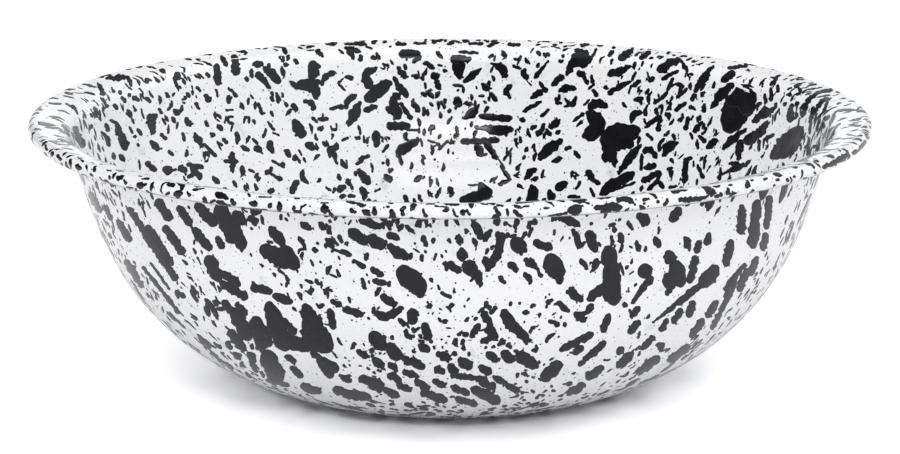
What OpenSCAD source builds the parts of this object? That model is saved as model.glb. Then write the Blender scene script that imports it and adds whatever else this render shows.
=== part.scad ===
// Round enamelled steel basin bowl: one pressed sheet-steel shell with a rolled rim,
// fired all over with a thin dark ground coat and a white cover coat.
// The bowl stands on its flat base. Z is the bowl's axis, and the origin is the
// centre of the base, on the surface that the bowl stands on.
// Slopes are angles above the horizontal of the outer face, seen in a cut
// through the axis.

/* [Overall] */
// Diameter over the rolled rim
rim_diameter = 330; // [300:1:360]
// Height from the base to the crown of the rim
height = 105; // [92:1:120]

/* [Base and wall] */
// Radius of the flat that the bowl stands on
base_radius = 66; // [56:1:76]
// Outside radius of the knuckle between base and wall
knuckle_radius = 40; // [25:1:55]
// Slope where the knuckle runs into the lower wall
knuckle_slope = 20; // [14:2:26]
// Slope at the top of the wall, where the flare begins
wall_slope = 78; // [72:2:84]
// How much of the wall belongs to its rounder lower stretch
lower_wall_share = 0.69; // [0.5:0.01:0.85]

/* [Brim and rim] */
// Radius of the flare's underside
flare_radius = 7.5; // [5:0.5:10]
// Width of the brim between the flare and the rolled rim
brim_width = 7; // [4:0.5:10]
// Slope of the brim
brim_slope = 12; // [6:2:18]
// Diameter of the rolled rim over its enamel
rim_roll_diameter = 5.6; // [4.6:0.1:7]
// Gap left at the seam, between the rolled rim and the brim's underside
seam_gap = 0.1; // [0.05:0.01:0.3]

/* [Steel and enamel] */
// Thickness of the steel sheet
sheet_thickness = 0.6; // [0.4:0.05:0.8]
// Thickness of the dark ground coat on each face
ground_coat = 0.12; // [0.08:0.01:0.16]
// Thickness of the white cover coat on each face
cover_coat = 0.23; // [0.15:0.01:0.3]

/* [Hidden] */
$fn = 180;

steel_colour = [0.46, 0.47, 0.49];
ground_colour = [0.07, 0.08, 0.13];
enamel_colour = [0.93, 0.93, 0.95];

// Depths of the layer faces, measured inward from the bowl's outer face
outer_cover_top = cover_coat;
outer_ground_top = outer_cover_top + ground_coat;
steel_top = outer_ground_top + sheet_thickness;
inner_ground_top = steel_top + ground_coat;
wall_thickness = inner_ground_top + cover_coat;

// Rolled rim: its centre in the cut, and the directions along and square to the brim
roll_radius = rim_roll_diameter / 2;
roll_centre = [rim_diameter / 2 - roll_radius, height - roll_radius];
along_brim = [cos(brim_slope), sin(brim_slope)];
above_brim = [-sin(brim_slope), cos(brim_slope)];
// The roll meets the brim's top face along its own crown
brim_under = roll_radius - wall_thickness;
// Angle, from the line back along the brim, at which the roll closes on the brim
seam_angle = asin((brim_under - seam_gap) / roll_radius);
roll_start = 90 + brim_slope;
roll_end = brim_slope - 180 - seam_angle;
// The outer coats reach along the brim as far as the lip of the rolled sheet
lip_radius = roll_radius - cover_coat - ground_coat - sheet_thickness;
outer_coat_width = brim_width - lip_radius * cos(seam_angle);

// Flare: it turns about a point below the brim, and starts at the top of the wall
flare_end = roll_centre + above_brim * brim_under - along_brim * brim_width;
flare_centre = flare_end - above_brim * flare_radius;
wall_top = flare_centre + flare_radius * [-sin(wall_slope), cos(wall_slope)];

// Knuckle: it turns about a point above the edge of the base
knuckle_centre = [base_radius, knuckle_radius];
wall_foot = knuckle_centre + knuckle_radius * [sin(knuckle_slope), -cos(knuckle_slope)];

// Wall: two round stretches, tangent to each other, to the knuckle and to the flare.
// Their tangents meet in a low and a high corner. With the lower stretch's tangents
// cut_ratio times as long as the upper one's, both lengths follow from the reach.
wall_reach = wall_top - wall_foot;
foot_tangent = [cos(knuckle_slope), sin(knuckle_slope)];
top_tangent = [cos(wall_slope), sin(wall_slope)];
cut_ratio = lower_wall_share / (1 - lower_wall_share);
bend = cut_ratio * (1 - foot_tangent * top_tangent);
pull = wall_reach * (cut_ratio * foot_tangent + top_tangent);
upper_tangent = (sqrt(pull * pull + 2 * bend * (wall_reach * wall_reach)) - pull)
    / (2 * bend);
lower_tangent = cut_ratio * upper_tangent;
between_corners = (wall_top - upper_tangent * top_tangent)
    - (wall_foot + lower_tangent * foot_tangent);
middle_slope = atan2(between_corners[1], between_corners[0]);
lower_wall_radius = lower_tangent / tan((middle_slope - knuckle_slope) / 2);
upper_wall_radius = upper_tangent / tan((wall_slope - middle_slope) / 2);
lower_wall_centre = wall_foot
    + lower_wall_radius * [-sin(knuckle_slope), cos(knuckle_slope)];
upper_wall_centre = wall_top
    + upper_wall_radius * [-sin(wall_slope), cos(wall_slope)];

// Flats that stand for each round stretch of the cut, alike in every layer
knuckle_steps = 5;
lower_wall_steps = 16;
upper_wall_steps = 6;
flare_steps = 8;
roll_steps = 24;

// Points along an arc of the cut, without its first one
function arc_points(centre, radius, from, to, steps) =
    [for (i = [1:steps])
        let (angle = from + (to - from) * i / steps)
        centre + radius * [cos(angle), sin(angle)]];

// Line of one layer face from the axis to the brim, at a depth below the outer face
function wall_line(depth, width) = concat(
    [[0, depth], [base_radius, depth]],
    arc_points(knuckle_centre, knuckle_radius - depth,
               -90, knuckle_slope - 90, knuckle_steps),
    arc_points(lower_wall_centre, lower_wall_radius - depth,
               knuckle_slope - 90, middle_slope - 90, lower_wall_steps),
    arc_points(upper_wall_centre, upper_wall_radius - depth,
               middle_slope - 90, wall_slope - 90, upper_wall_steps),
    arc_points(flare_centre, flare_radius + depth,
               wall_slope + 90, brim_slope + 90, flare_steps),
    [flare_end + along_brim * width + above_brim * depth]);

// The same face round the rolled rim, from the crown to the seam
function roll_line(depth) =
    arc_points(roll_centre, brim_under + depth, roll_start, roll_end, roll_steps);

// Where the roll begins, at the end of the brim
function crown_point(depth) = roll_centre + above_brim * (brim_under + depth);

function backward(points) = [for (i = [len(points) - 1:-1:0]) points[i]];

// Layer turned about the axis, between the lines of its two faces
module layer(low_line, high_line) {
    rotate_extrude()
        polygon(concat(low_line, backward(high_line)));
}

// Pressed and rolled steel sheet
module steel_bowl() {
    color(steel_colour)
        layer(concat(wall_line(outer_ground_top, brim_width), roll_line(outer_ground_top)),
              concat(wall_line(steel_top, brim_width), roll_line(steel_top)));
}

// Ground coat on the sheet's inner face, which is the outside of the rolled rim
module inner_ground_coat() {
    color(ground_colour)
        layer(concat(wall_line(steel_top, brim_width), roll_line(steel_top)),
              concat(wall_line(inner_ground_top, brim_width), roll_line(inner_ground_top)));
}

// Ground coat on the sheet's outer face, up to the seam
module outer_ground_coat() {
    color(ground_colour)
        layer(wall_line(outer_cover_top, outer_coat_width),
              wall_line(outer_ground_top, outer_coat_width));
}

// White coat inside the bowl, up to the crown of the rim
module inner_enamel() {
    color(enamel_colour)
        layer(wall_line(inner_ground_top, brim_width), wall_line(wall_thickness, brim_width));
}

// White coat outside the bowl and under its base, up to the seam
module outer_enamel() {
    color(enamel_colour)
        layer(wall_line(0, outer_coat_width), wall_line(outer_cover_top, outer_coat_width));
}

// White coat on the rolled rim, from its crown round to the seam
module rim_enamel() {
    color(enamel_colour)
        layer(concat([crown_point(inner_ground_top)], roll_line(inner_ground_top)),
              concat([crown_point(wall_thickness)], roll_line(wall_thickness)));
}

steel_bowl();
inner_ground_coat();
outer_ground_coat();
inner_enamel();
outer_enamel();
rim_enamel();
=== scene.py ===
"""Splatter enamel basin bowl: glossy white coats with raised black drops of glaze."""
import math
import random
from bisect import bisect_right

import bpy
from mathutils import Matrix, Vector, noise
from mathutils.bvhtree import BVHTree


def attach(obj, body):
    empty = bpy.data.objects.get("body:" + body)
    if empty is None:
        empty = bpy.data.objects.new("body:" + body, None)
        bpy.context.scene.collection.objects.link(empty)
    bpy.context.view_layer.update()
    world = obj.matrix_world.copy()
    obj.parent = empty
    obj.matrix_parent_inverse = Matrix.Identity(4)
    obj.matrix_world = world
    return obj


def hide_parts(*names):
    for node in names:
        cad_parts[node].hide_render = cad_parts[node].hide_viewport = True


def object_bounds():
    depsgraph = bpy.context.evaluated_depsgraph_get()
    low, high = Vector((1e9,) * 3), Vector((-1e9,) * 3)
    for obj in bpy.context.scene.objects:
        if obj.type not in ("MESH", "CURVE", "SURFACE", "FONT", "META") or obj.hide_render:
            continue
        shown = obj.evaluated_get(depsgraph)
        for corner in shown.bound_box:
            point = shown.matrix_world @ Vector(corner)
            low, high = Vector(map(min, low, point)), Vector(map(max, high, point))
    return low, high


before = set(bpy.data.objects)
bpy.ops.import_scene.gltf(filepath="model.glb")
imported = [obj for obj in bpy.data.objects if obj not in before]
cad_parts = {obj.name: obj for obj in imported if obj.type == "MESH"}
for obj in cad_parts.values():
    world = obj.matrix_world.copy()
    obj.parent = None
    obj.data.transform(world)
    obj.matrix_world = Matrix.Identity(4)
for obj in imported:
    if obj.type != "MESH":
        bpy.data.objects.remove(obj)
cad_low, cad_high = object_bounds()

# Sizes of the bowl in millimetres, as in the frame; slopes in degrees above the horizontal
MM = 0.001
RIM_RADIUS = 164.998
HEIGHT = 105.0
BASE_RADIUS = 66.0
KNUCKLE_RADIUS = 40.0
KNUCKLE_SLOPE = 20.0
WALL_SLOPE = 78.0
LOWER_WALL_SHARE = 0.69
FLARE_RADIUS = 7.5
BRIM_WIDTH = 7.0
BRIM_SLOPE = 12.0
ROLL_RADIUS = 2.8
SEAM_ANGLE = 30.0
COAT = 0.23
WALL = 1.3
# The outer coat ends this far short of the brim's end, at the lip of the rolled sheet
OUTER_COAT_SHORTFALL = 1.6

# The white is drawn this much below the coat's face, and the drops rise to that face
RELIEF = 0.05
# Pieces round the axis, and the longest piece of the base and of an arc, in millimetres and degrees
TURNS = 360
BASE_STEP = 2.8
ARC_STEP = 1.4
ARC_TURN = 7.0
# A smaller length counts as none
LEAST = 1e-6
# An edge that turns by more degrees than this stays sharp
SHARP_ANGLE = 40.0
# The drops get finer cuts from this far before the flare
FLARE_LEAD = 2.0

# Camera, fitted to the rim's ellipse and the silhouette in the photograph
PHOTO_WIDTH = 900
PHOTO_HEIGHT = 454
CAMERA_DISTANCE = 1100.0
CAMERA_ELEVATION = 13.78
AIM_HEIGHT = 57.0
FOCAL_PIXELS = 2757.0
SENSOR = 36.0
CLIP_START = 0.01
TILT = math.radians(CAMERA_ELEVATION)
CAMERA_HEIGHT = AIM_HEIGHT + CAMERA_DISTANCE * math.sin(TILT)
CAMERA_PLACE = Vector((0, -CAMERA_DISTANCE * math.cos(TILT), CAMERA_HEIGHT)) * MM
EYE = CAMERA_PLACE / MM


def heading(slope):
    """Direction in the cut through the bowl, at a slope in degrees."""
    return Vector((math.cos(math.radians(slope)), math.sin(math.radians(slope))))


def on_circle(centre, radius, angle):
    """Point of a circle in the cut, at an angle in degrees."""
    a = math.radians(angle)
    return Vector((centre.x + radius * math.cos(a), centre.y + radius * math.sin(a)))


class Profile:
    """The bowl's outer line in the cut, as circles that run into each other."""

    def __init__(self):
        self.along = heading(BRIM_SLOPE)
        self.above = Vector((-self.along.y, self.along.x))
        self.roll = Vector((RIM_RADIUS - ROLL_RADIUS, HEIGHT - ROLL_RADIUS))
        brim_end = self.roll + self.above * (ROLL_RADIUS - WALL)
        self.brim_start = brim_end - self.along * BRIM_WIDTH
        self.flare = self.brim_start - self.above * FLARE_RADIUS
        self.knuckle = Vector((BASE_RADIUS, KNUCKLE_RADIUS))
        self.solve_wall()

    def solve_wall(self):
        """Two tangent circles from the knuckle to the flare, as in the frame."""
        foot = on_circle(self.knuckle, KNUCKLE_RADIUS, KNUCKLE_SLOPE - 90)
        top = on_circle(self.flare, FLARE_RADIUS, WALL_SLOPE + 90)
        low, high = heading(KNUCKLE_SLOPE), heading(WALL_SLOPE)
        reach = top - foot
        ratio = LOWER_WALL_SHARE / (1 - LOWER_WALL_SHARE)
        bend = ratio * (1 - low.dot(high))
        pull = reach.dot(ratio * low + high)
        upper = (math.sqrt(pull**2 + 2 * bend * reach.dot(reach)) - pull) / (2 * bend)
        lower = ratio * upper
        between = (top - upper * high) - (foot + lower * low)
        self.middle_slope = math.degrees(math.atan2(between.y, between.x))
        self.lower_radius = lower / math.tan(math.radians(self.middle_slope - KNUCKLE_SLOPE) / 2)
        self.upper_radius = upper / math.tan(math.radians(WALL_SLOPE - self.middle_slope) / 2)
        self.lower = on_circle(foot, self.lower_radius, KNUCKLE_SLOPE + 90)
        self.upper = on_circle(top, self.upper_radius, WALL_SLOPE + 90)


BOWL = Profile()


def arc(centre, radius, start, end, outward):
    """Points and normals along an arc of the cut; outward turns the normals away from its centre."""
    length = abs(math.radians(end - start)) * radius
    count = max(3, math.ceil(length / ARC_STEP), math.ceil(abs(end - start) / ARC_TURN))
    rows = []
    for i in range(1, count + 1):
        angle = start + (end - start) * i / count
        normal = on_circle(Vector((0, 0)), 1 if outward else -1, angle)
        rows.append((on_circle(centre, radius, angle), normal))
    return rows


def base_line(depth, normal):
    """Points across the flat base, from the axis outward."""
    count = math.ceil(BASE_RADIUS / BASE_STEP)
    return [(Vector((BASE_RADIUS * i / count, depth)), Vector((0, normal))) for i in range(count + 1)]


def wall_line(depth, inside):
    """Points and normals from the axis to the start of the brim, at a depth below the outer face."""
    rows = base_line(depth, 1 if inside else -1)
    for centre, radius, low, high in (
        (BOWL.knuckle, KNUCKLE_RADIUS, 0, KNUCKLE_SLOPE),
        (BOWL.lower, BOWL.lower_radius, KNUCKLE_SLOPE, BOWL.middle_slope),
        (BOWL.upper, BOWL.upper_radius, BOWL.middle_slope, WALL_SLOPE),
    ):
        rows += arc(centre, radius - depth, low - 90, high - 90, not inside)
    return rows + arc(BOWL.flare, FLARE_RADIUS + depth, WALL_SLOPE + 90, BRIM_SLOPE + 90, inside)


def side_line(depth, width, inside):
    """Points and normals from the axis to a width of the brim."""
    count = math.ceil(width / ARC_STEP)
    normal = BOWL.above if inside else -BOWL.above
    foot = BOWL.brim_start + BOWL.above * depth
    brim = [(foot + BOWL.along * width * i / count, normal) for i in range(1, count + 1)]
    return wall_line(depth, inside) + brim


def roll_line(depth):
    """Points and normals round the rolled rim, from its crown to the seam."""
    radius = ROLL_RADIUS - WALL + depth
    crown = 90 + BRIM_SLOPE
    first = (on_circle(BOWL.roll, radius, crown), BOWL.above)
    return [first] + arc(BOWL.roll, radius, crown, BRIM_SLOPE - 180 - SEAM_ANGLE, True)


OUTER_WIDTH = BRIM_WIDTH - OUTER_COAT_SHORTFALL
OUTER_FACE = side_line(RELIEF, OUTER_WIDTH, False)
OUTER_BACK = side_line(COAT, OUTER_WIDTH, False)
INNER_FACE = side_line(WALL - RELIEF, BRIM_WIDTH, True)
INNER_BACK = side_line(WALL - COAT, BRIM_WIDTH, True)
RIM_FACE = roll_line(WALL - RELIEF)
RIM_BACK = roll_line(WALL - COAT)


class Surface:
    """A face of the bowl that drops lie on: s runs along the cut, phi round the axis."""

    def __init__(self, rows):
        self.points = [point for point, _ in rows]
        self.normals = [normal for _, normal in rows]
        self.s = [0.0]
        for a, b in zip(self.points, self.points[1:]):
            self.s.append(self.s[-1] + (b - a).length)
        self.length = self.s[-1]

    def at(self, s):
        """Point and normal in the cut at a length s along it."""
        i = min(len(self.s) - 2, max(0, bisect_right(self.s, s) - 1))
        share = min(1.0, max(0.0, (s - self.s[i]) / (self.s[i + 1] - self.s[i])))
        point = self.points[i].lerp(self.points[i + 1], share)
        return point, self.normals[i].lerp(self.normals[i + 1], share).normalized()

    def place(self, s, phi, rise):
        """Point in the frame, in metres, raised off the face."""
        point, normal = self.at(s)
        point = point + normal * rise
        return Vector((point.x * math.cos(phi), point.x * math.sin(phi), point.y)) * MM

    def along_row(self, row, point):
        """Length along the cut of a point on one of its straight pieces."""
        a, b = self.points[row], self.points[row + 1]
        share = (point - a).dot(b - a) / (b - a).length_squared
        return self.s[row] + min(1.0, max(0.0, share)) * (self.s[row + 1] - self.s[row])


def turned(normal, phi):
    """Normal of a face, from the cut turned to an angle about the axis."""
    return Vector((normal.x * math.cos(phi), normal.x * math.sin(phi), normal.y))


def chart_point(s, phi):
    """Place on the flat chart of a face: its length from the middle, at its turn."""
    return Vector((s * math.cos(phi), s * math.sin(phi)))


OUTSIDE = Surface(OUTER_FACE)
INSIDE = Surface(INNER_FACE + RIM_FACE[1:])
RIM_START = Surface(INNER_FACE).length
RIM_END = INSIDE.length
FLARE_TURN = math.radians(WALL_SLOPE - BRIM_SLOPE)
OUTER_FLARE = OUTSIDE.length - OUTER_WIDTH - FLARE_TURN * FLARE_RADIUS - FLARE_LEAD
INNER_FLARE = RIM_START - BRIM_WIDTH - FLARE_TURN * (FLARE_RADIUS + WALL) - FLARE_LEAD


# Meshes
def ring(radius, height, unit=1.0):
    """Points round the axis, from a radius and a height in the cut."""
    turns = [2 * math.pi * i / TURNS for i in range(TURNS)]
    return [(radius * math.cos(phi) * unit, radius * math.sin(phi) * unit, height * unit) for phi in turns]


def face_of(*corners):
    """Corners of a face, without those that fall together."""
    return tuple(dict.fromkeys(corners))


def band(low, high):
    """Faces between two rings of vertices."""
    pairs = [(i, (i + 1) % TURNS) for i in range(TURNS)]
    return [face_of(low[i], low[j], high[j], high[i]) for i, j in pairs]


def new_object(name, vertices, faces, material):
    mesh = bpy.data.meshes.new(name)
    mesh.from_pydata(vertices, [], faces)
    mesh.polygons.foreach_set("use_smooth", [True] * len(mesh.polygons))
    mesh.update()
    mesh.materials.append(material)
    obj = bpy.data.objects.new(name, mesh)
    bpy.context.scene.collection.objects.link(obj)
    return obj


def coat(name, node, face, back, start, material):
    """White skin turned about the axis, which stands for its node and keeps its flat chart."""
    lengths = [start]
    for a, b in zip(face, face[1:]):
        lengths.append(lengths[-1] + (b[0] - a[0]).length)
    end, share = lengths[-1], len(back) - 1
    lengths += [end - (end - start) * k / share for k in range(len(back))]
    vertices, marks, rings = [], [], []
    for (point, _), s in zip(face + back[::-1], lengths):
        if point.x < LEAST:
            rings.append([len(vertices)] * TURNS)
            vertices.append((0.0, 0.0, point.y * MM))
            marks += [0.0, 0.0, 0.0]
        else:
            rings.append(range(len(vertices), len(vertices) + TURNS))
            vertices += ring(point.x, point.y, MM)
            marks += [number for mark in ring(s, 0.0, MM) for number in mark]
    if face[0][0].x >= LEAST:
        rings.append(rings[0])
    faces = [corners for low, high in zip(rings, rings[1:]) for corners in band(low, high)]
    obj = new_object(name, vertices, faces, material)
    obj.data.set_sharp_from_angle(angle=math.radians(SHARP_ANGLE))
    chart = obj.data.attributes.new("chart", "FLOAT_VECTOR", "POINT")
    chart.data.foreach_set("vector", marks)
    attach(obj, "root")
    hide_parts(node)


def splatter(drops, name, material):
    """One piece for the drops of each sector, numbered when there are more."""
    for i, (vertices, faces) in enumerate(drops.sectors):
        piece = name if len(drops.sectors) == 1 else f"{name}_{i + 1}"
        # The CAD's rim is a polygon, so its box is a little narrower on this side
        vertices = [(max(cad_low.x, x), y, z) for x, y, z in vertices]
        obj = new_object(piece, vertices, faces, material)
        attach(obj, "root")


# Drops of glaze. Each is a stroke: points with a width, from tip to tip.
# Width of a drop's sloping edge seen from above, and how far its rim goes into the white
DROP_EDGE = 0.16
SUNK = 0.012
# Length of a round tip as a share of its width, and where long and short tips are cut
TIP_SHARE = 0.72
TIP_CUTS = (0.0, 0.07, 0.3, 0.62)
SHORT_TIP_CUTS = (0.0, 0.12, 0.5)
# Least distance between cuts, and how far off a direction is taken, as shares of a stroke's length
CLOSEST_CUT = 1e-4
NEIGHBOUR = 0.02
# Level of a drop's top as shares of the relief, and of its shoulder as a share of that
LEVELS = (0.7, 1.0)
SHOULDER = 0.8
# Ragged edge: its size and grain in millimetres, its most as a share of half the width, and its strength
RAGGED = 0.46
RAGGED_GRAIN = 1.5
RAGGED_MOST = 0.4
RAGGED_STRENGTH = 1.5
# Finer raggedness: its strength, and its grain as a share of the other
RAGGED_FINE = 0.7
RAGGED_FINE_GRAIN = 0.45
# Range of the seeds that make each ragged edge its own
SEEDS = 90
# Small drops: sides, unevenness, least share and height of the flat top's edge
DOT_SIDES = 10
DOT_WAVE = 0.14
DOT_TOP = 0.45
DOT_SHOULDER = 0.85
# Tries that draw a point in towards the middle until it lies on the face
DRAW_IN = 12
# Longest way between two points of a drop, in millimetres; a longer one bridges the air
LONGEST_STEP = 14.0
# A line of sight meets a face only where the cosine between it and the normal is below this
FACING = -0.06
# Faces that a line of sight may pass, and how far it starts behind each
CROSSINGS = 6
PAST = 0.01


def rounded(share):
    """Half width of a round tip, as a share, at a share of the way into it."""
    return math.sqrt(max(0.0, 1 - (1 - share) ** 2))


class Stroke:
    """Smooth line through points of (u, v, width), measured from its first tip."""

    def __init__(self, numbers):
        self.points = [Vector(numbers[i:i + 3]) for i in range(0, len(numbers), 3)]
        self.marks = [0.0]
        for a, b in zip(self.points, self.points[1:]):
            self.marks.append(self.marks[-1] + (b.xy - a.xy).length)
        self.length = self.marks[-1]
        self.width = max(point.z for point in self.points)
        self.first_tip = min(self.points[0].z * TIP_SHARE, self.length / 2)
        self.last_tip = min(self.points[-1].z * TIP_SHARE, self.length / 2)

    def at(self, d):
        """Position and full width at a distance from the first tip."""
        i = 0
        while i < len(self.marks) - 2 and d > self.marks[i + 1]:
            i += 1
        a, b = self.points[i], self.points[i + 1]
        before = self.points[i - 1] if i else a * 2 - b
        after = self.points[i + 2] if i + 2 < len(self.points) else b * 2 - a
        t = (d - self.marks[i]) / (self.marks[i + 1] - self.marks[i])
        rise = a * 2 + (b - before) * t + (before * 2 - a * 5 + b * 4 - after) * t**2
        curve = (rise + (a * 3 - before - b * 3 + after) * t**3) / 2
        ease = t * t * (3 - 2 * t)
        return Vector((curve.x, curve.y, a.z + (b.z - a.z) * ease))

    def along(self, d, reach):
        """Direction at a distance from the first tip, over a reach to either side."""
        ahead, behind = self.at(min(self.length, d + reach)), self.at(max(0.0, d - reach))
        return (ahead - behind).xy.normalized()

    def half_width(self, d):
        """Half width at a distance from the first tip, with the tips round."""
        share = 1.0
        if d < self.first_tip:
            share = rounded(d / self.first_tip)
        if self.length - d < self.last_tip:
            share = min(share, rounded((self.length - d) / self.last_tip))
        return self.at(d).z / 2 * share

    def stations(self, step):
        """Distances at which the stroke is cut, closer together in its round tips."""
        first, last = self.first_tip, self.last_tip
        cuts = TIP_CUTS if max(first, last) > step else SHORT_TIP_CUTS
        between = self.length - first - last
        count = max(1, math.ceil(between / step))
        marks = [first * share for share in cuts]
        marks += [first + between * i / count for i in range(count + 1)]
        marks += [self.length - last * share for share in reversed(cuts)]
        kept = [marks[0]]
        for mark in marks[1:]:
            if mark > kept[-1] + CLOSEST_CUT * self.length:
                kept.append(mark)
        return kept


def settle(place, spot, middle, rise):
    """Point of the face at a spot; a spot off the face is drawn in towards the stroke's middle."""
    for i in range(DRAW_IN + 1):
        near = spot.xy.lerp(middle.xy, i / DRAW_IN)
        point = place(near.x, near.y, rise)
        if point is not None:
            return point
    return None


def spans_gap(rows):
    """Says whether a drop would bridge the air between two parts of the bowl."""
    centres = [row[len(row) // 2] for row in rows]
    steps = [(b - a).length for row in [centres] + rows for a, b in zip(row, row[1:])]
    return max(steps) > LONGEST_STEP * MM


class Drops:
    """Gathers the meshes of many drops, by the sector of the bowl that each starts in."""

    def __init__(self, sectors=1):
        self.sectors = [([], []) for _ in range(sectors)]

    def sector(self, point):
        """Vertices and faces of the sector that holds a point."""
        share = 0.5 + math.atan2(point.y, point.x) / (2 * math.pi)
        return self.sectors[min(len(self.sectors) - 1, int(share * len(self.sectors)))]

    def stroke(self, place, numbers, unit, step, draw):
        """Adds a stroke. place gives a point in the frame; unit is its length for 1 mm."""
        line = Stroke(numbers)
        marks = line.stations(step * unit)
        across = max(2, math.ceil(line.width / (2 * step * unit)) * 2)
        seed = draw.uniform(0, SEEDS)
        level = RELIEF * draw.uniform(*LEVELS)
        edge_rises = [-SUNK, SHOULDER * level]
        rises = edge_rises + [level] * (across - 1) + edge_rises[::-1]
        middle = line.at(line.length / 2)
        grain = RAGGED_GRAIN * unit
        rows = [[settle(place, line.at(marks[0]), middle, -SUNK)]]
        for mark in marks[1:-1]:
            here = line.at(mark)
            along = line.along(mark, NEIGHBOUR * line.length)
            side = Vector((-along.y, along.x))
            half = line.half_width(mark)
            ragged = min(RAGGED * unit, RAGGED_MOST * half)
            halves = {}
            for way in (-1, 1):
                spot = Vector((here.x + side.x * half * way, here.y + side.y * half * way, seed))
                rough = noise.noise(spot / grain)
                rough += RAGGED_FINE * noise.noise(spot / (RAGGED_FINE_GRAIN * grain))
                halves[way] = half + RAGGED_STRENGTH * ragged * rough
            top = 1 - min(0.5, DROP_EDGE * unit / max(half, LEAST))
            shares = [-1.0] + [-top + 2 * top * i / across for i in range(across + 1)] + [1.0]
            row = []
            for share, rise in zip(shares, rises):
                reach = share * halves[1 if share > 0 else -1]
                row.append(settle(place, here.xy + side * reach, middle, rise))
            rows.append(row)
        rows.append([settle(place, line.at(marks[-1]), middle, -SUNK)])
        if any(point is None for row in rows for point in row) or spans_gap(rows):
            return False
        self.knit(rows)
        return True

    def knit(self, rows):
        """Joins rows of points by faces; a row of one point is a tip."""
        vertices, faces = self.sector(rows[0][0])
        width = max(len(row) for row in rows)
        numbers = []
        for row in rows:
            first = len(vertices)
            numbers.append([first + k if len(row) > 1 else first for k in range(width)])
            vertices += row
        for low, high in zip(numbers, numbers[1:]):
            for i in range(width - 1):
                faces.append(face_of(high[i], high[i + 1], low[i + 1], low[i]))

    def dot(self, place, length, width, angle, draw):
        """Adds a small drop about the point that place has as its zero."""
        c, s = math.cos(angle), math.sin(angle)
        wave = [1 + draw.uniform(-DOT_WAVE, DOT_WAVE) for _ in range(DOT_SIDES)]
        top = max(DOT_TOP, 1 - 2 * DROP_EDGE / width)
        points = []
        for scale, rise in ((1.0, -SUNK), (top, DOT_SHOULDER * RELIEF)):
            for i in range(DOT_SIDES):
                t = 2 * math.pi * i / DOT_SIDES
                u = math.cos(t) * length / 2 * wave[i] * scale
                v = math.sin(t) * width / 2 * wave[i] * scale
                points.append(place(u * c - v * s, u * s + v * c, rise))
        points.append(place(0.0, 0.0, RELIEF))
        if any(point is None for point in points):
            return False
        vertices, faces = self.sector(points[0])
        low = len(vertices)
        high = low + DOT_SIDES
        vertices += points
        for i in range(DOT_SIDES):
            j = (i + 1) % DOT_SIDES
            faces.append((low + i, low + j, high + j, high + i))
            faces.append((high + i, high + j, high + DOT_SIDES))
        return True


class FromPhoto:
    """Finds where the line of sight through a pixel meets a face of the bowl."""

    def __init__(self, surface, rows, first_row=0):
        self.surface = surface
        self.first_row = first_row
        self.normals = [normal for _, normal in rows]
        vertices = [corner for point, _ in rows for corner in ring(point.x, point.y)]
        rings = [range(k * TURNS, (k + 1) * TURNS) for k in range(len(rows))]
        faces = [corners for low, high in zip(rings, rings[1:]) for corners in band(low, high)]
        self.tree = BVHTree.FromPolygons(vertices, faces)

    def spot(self, x, y):
        """Length along the cut and turn about the axis, seen at a pixel."""
        ahead = Vector((0, math.cos(TILT), -math.sin(TILT)))
        up = Vector((0, math.sin(TILT), math.cos(TILT)))
        across = (x - PHOTO_WIDTH / 2) / FOCAL_PIXELS
        down = (y - PHOTO_HEIGHT / 2) / FOCAL_PIXELS
        ray = (ahead + Vector((1, 0, 0)) * across - up * down).normalized()
        start = EYE
        for _ in range(CROSSINGS):
            hit, _, index, _ = self.tree.ray_cast(start, ray)
            if hit is None:
                return None
            row = index // TURNS
            phi = math.atan2(hit.y, hit.x)
            if turned(self.normals[row], phi).dot(ray) < FACING:
                met = Vector((hit.xy.length, hit.z))
                return self.surface.along_row(row + self.first_row, met), phi
            start = hit + ray * PAST
        return None

    def chart(self, x, y):
        """Place on the flat chart of the face, seen at a pixel."""
        found = self.spot(x, y)
        return None if found is None else chart_point(*found)

    def place(self, x, y, rise):
        """Point in the frame seen at a pixel, raised off the face."""
        found = self.spot(x, y)
        return None if found is None else self.surface.place(*found, rise)


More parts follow.
